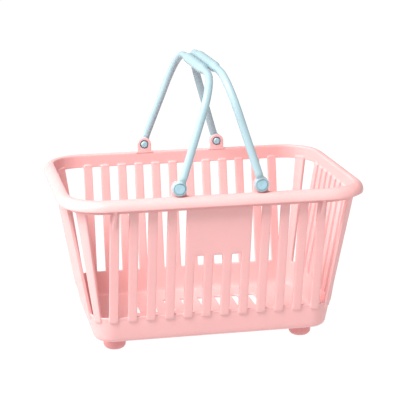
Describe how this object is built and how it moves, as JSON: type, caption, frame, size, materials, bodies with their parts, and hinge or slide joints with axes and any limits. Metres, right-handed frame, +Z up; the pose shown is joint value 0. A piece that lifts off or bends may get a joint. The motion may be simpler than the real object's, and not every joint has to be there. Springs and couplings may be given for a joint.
{
  "type": "shower caddy",
  "caption": "Tapered slotted plastic shower basket with a wide rolled rim, a solid front panel, round feet and two arched carrying handles that fold outwards on pins.",
  "frame": {"origin": "middle of the basket, on the surface that the feet stand on", "axes": "+X along the long side, +Y from the panelled front wall towards the back wall, +Z up"},
  "size_m": [0.25, 0.18, 0.2342],
  "materials": {
    "pink_plastic": "satin moulded polypropylene",
    "blue_plastic": "soft gloss moulded polypropylene",
    "pin_plastic": "soft gloss moulded polypropylene",
    "foot_plastic": "satin moulded polypropylene"
  },
  "bodies": {
    "basket": {"basket_body": "pink_plastic", "foot_front_left": "foot_plastic", "foot_front_right": "foot_plastic", "foot_back_left": "foot_plastic", "foot_back_right": "foot_plastic"},
    "left_handle": {"handle_left": "blue_plastic", "pivot_pin_left_front": "pin_plastic", "pivot_pin_left_back": "pin_plastic"},
    "right_handle": {"handle_right": "blue_plastic", "pivot_pin_right_front": "pin_plastic", "pivot_pin_right_back": "pin_plastic"}
  },
  "joints": [
    {"name": "left_handle_hinge", "type": "hinge", "parent": "basket", "child": "left_handle", "pos_m": [-0.0328, 0, 0.1446], "axis": [0, -1, 0], "range_deg": [0, 110.5]},
    {"name": "right_handle_hinge", "type": "hinge", "parent": "basket", "child": "right_handle", "pos_m": [0.0328, 0, 0.1446], "axis": [0, 1, 0], "range_deg": [0, 107.5]}
  ]
}
